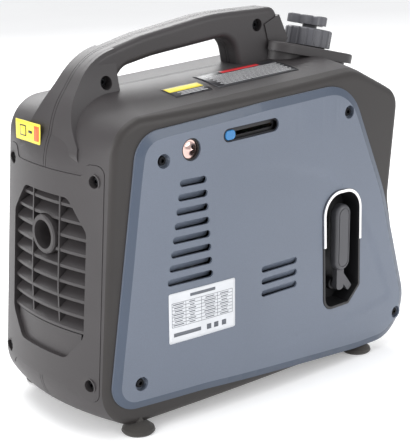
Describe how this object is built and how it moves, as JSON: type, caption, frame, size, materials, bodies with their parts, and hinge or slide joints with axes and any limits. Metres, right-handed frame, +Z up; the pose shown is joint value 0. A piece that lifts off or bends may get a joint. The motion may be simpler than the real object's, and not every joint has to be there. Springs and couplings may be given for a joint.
{
  "type": "portable generator",
  "caption": "Suitcase-style portable inverter generator with a carrying handle, side covers, louvred exhaust end, recoil starter, fuel cap and control panel.",
  "frame": {"origin": "centre of the bounding box, at the ground under the feet", "axes": "+X towards the control panel, -X towards the exhaust, -Y the starter side, +Z up"},
  "size_m": [0.4813, 0.2312, 0.4299],
  "materials": {
    "body_plastic": "fine moulded grain",
    "frame_plastic": "fine moulded grain",
    "cover_plastic": "satin blue-grey",
    "black_plastic": "matte black",
    "grey_plastic": "satin grey",
    "silver_trim": "bright plated plastic",
    "chrome": "polished",
    "lever_blue": "glossy blue",
    "rubber": "matte",
    "screw_steel": "black oxide",
    "steel": "brushed",
    "cast_alloy": "as cast",
    "exhaust_steel": "heat-tinted",
    "tank_plastic": "natural polyethylene",
    "foam": "open-cell foam",
    "copper": "enamelled wire",
    "rope": "braided nylon",
    "lens": "clear",
    "socket_white": "glossy"
  },
  "bodies": {
    "housing": {"housing_right": "body_plastic", "housing_left": "body_plastic", "side_frame_right": "frame_plastic", "side_frame_left": "frame_plastic", "side_cover_right": "cover_plastic", "side_cover_left": "cover_plastic", "case_screws": "screw_steel", "exhaust_end_panel": "body_plastic", "muffler": "exhaust_steel", "exhaust_outlet": "body_plastic", "spark_arrester": "exhaust_steel", "heat_shield": "steel", "crankcase": "cast_alloy", "crank_bearings": "steel", "cylinder_barrel": "cast_alloy", "cylinder_head": "cast_alloy", "rocker_cover": "cast_alloy", "spark_plug": "steel", "stator": "copper", "ignition_coil": "black_plastic", "recoil_housing": "black_plastic", "recoil_spring": "steel", "starter_recess": "black_plastic", "starter_trim": "silver_trim", "choke_bezel": "chrome", "choke_plate": "black_plastic", "primer_base": "black_plastic", "tank_surround": "body_plastic", "fuel_tank": "tank_plastic", "carburettor": "cast_alloy", "air_filter_box": "black_plastic", "air_filter_foam": "foam", "fuel_hose": "rubber", "base_plate": "steel", "engine_mounts": "rubber", "inverter_module": "cast_alloy", "control_panel": "black_plastic", "ac_sockets": "socket_white", "dc_socket": "black_plastic", "breaker_body": "black_plastic", "eco_switch_body": "black_plastic", "indicator_lenses": "lens", "ground_terminal": "steel", "feet": "rubber"},
    "crank_rotor": {"crankshaft": "steel", "flywheel_rotor": "steel", "cooling_fan": "black_plastic"},
    "reel": {"rope_reel": "grey_plastic"},
    "grip": {"starter_grip": "grey_plastic", "starter_rope": "rope"},
    "choke": {"choke_lever": "lever_blue"},
    "primer": {"primer_bulb": "chrome"},
    "cap_base": {"cap_insert": "black_plastic", "cap_gasket": "rubber"},
    "cap_ring": {"cap_shell": "grey_plastic"},
    "vent": {"vent_knob": "grey_plastic"},
    "breaker": {"breaker_button": "grey_plastic"},
    "eco": {"eco_rocker": "black_plastic"},
    "engine_switch": {"engine_switch_knob": "grey_plastic"},
    "oil_plug": {"oil_filler_plug": "black_plastic"}
  },
  "joints": [
    {"name": "crank_spin", "type": "hinge", "parent": "housing", "child": "crank_rotor", "pos_m": [0, 0, 0.133], "axis": [1, 0, 0], "continuous": true},
    {"name": "starter_pull", "type": "slide", "parent": "housing", "child": "grip", "axis": [0, -1, 0], "range_m": [0, 0.6], "stiffness_N_per_m": 12, "springref_m": -0.25, "deforming": ["starter_rope"]},
    {"name": "reel_turn", "type": "hinge", "parent": "housing", "child": "reel", "pos_m": [0, 0, 0.133], "axis": [1, 0, 0], "range_deg": [-1100, 5]},
    {"name": "choke_slide", "type": "slide", "parent": "housing", "child": "choke", "axis": [0.9991, 0, 0.0419], "range_m": [0, 0.056]},
    {"name": "primer_press", "type": "slide", "parent": "housing", "child": "primer", "axis": [0, 1, 0], "range_m": [0, 0.004], "stiffness_N_per_m": 600, "springref_m": -0.003},
    {"name": "cap_lift", "type": "slide", "parent": "housing", "child": "cap_base", "axis": [0.2215, 0, 0.9751], "range_m": [0, 0.06]},
    {"name": "cap_turn", "type": "hinge", "parent": "cap_base", "child": "cap_ring", "pos_m": [0.16594, 0, 0.37101], "axis": [0.2215, 0, 0.9751], "range_deg": [0, 90]},
    {"name": "vent_turn", "type": "hinge", "parent": "cap_ring", "child": "vent", "pos_m": [0.16594, 0, 0.37101], "axis": [0.2215, 0, 0.9751], "range_deg": [0, 90]},
    {"name": "breaker_press", "type": "slide", "parent": "housing", "child": "breaker", "axis": [-0.9965, 0, 0.0837], "range_m": [0, 0.0025], "stiffness_N_per_m": 600, "springref_m": -0.002},
    {"name": "eco_rock", "type": "hinge", "parent": "housing", "child": "eco", "pos_m": [0.20145, 0, 0.1588], "axis": [0, 1, 0], "range_deg": [0, 14]},
    {"name": "engine_switch_turn", "type": "hinge", "parent": "housing", "child": "engine_switch", "pos_m": [0.20648, 0, 0.104], "axis": [0.9965, 0, -0.0837], "range_deg": [0, 90]},
    {"name": "oil_plug_turn", "type": "hinge", "parent": "housing", "child": "oil_plug", "pos_m": [-0.02, 0.0622, 0.07], "axis": [0, 1, 0], "range_deg": [0, 90]}
  ],
  "couplings": [
    {"joint": "reel_turn", "follows": "starter_pull", "rad_per_m": -30.303}
  ]
}
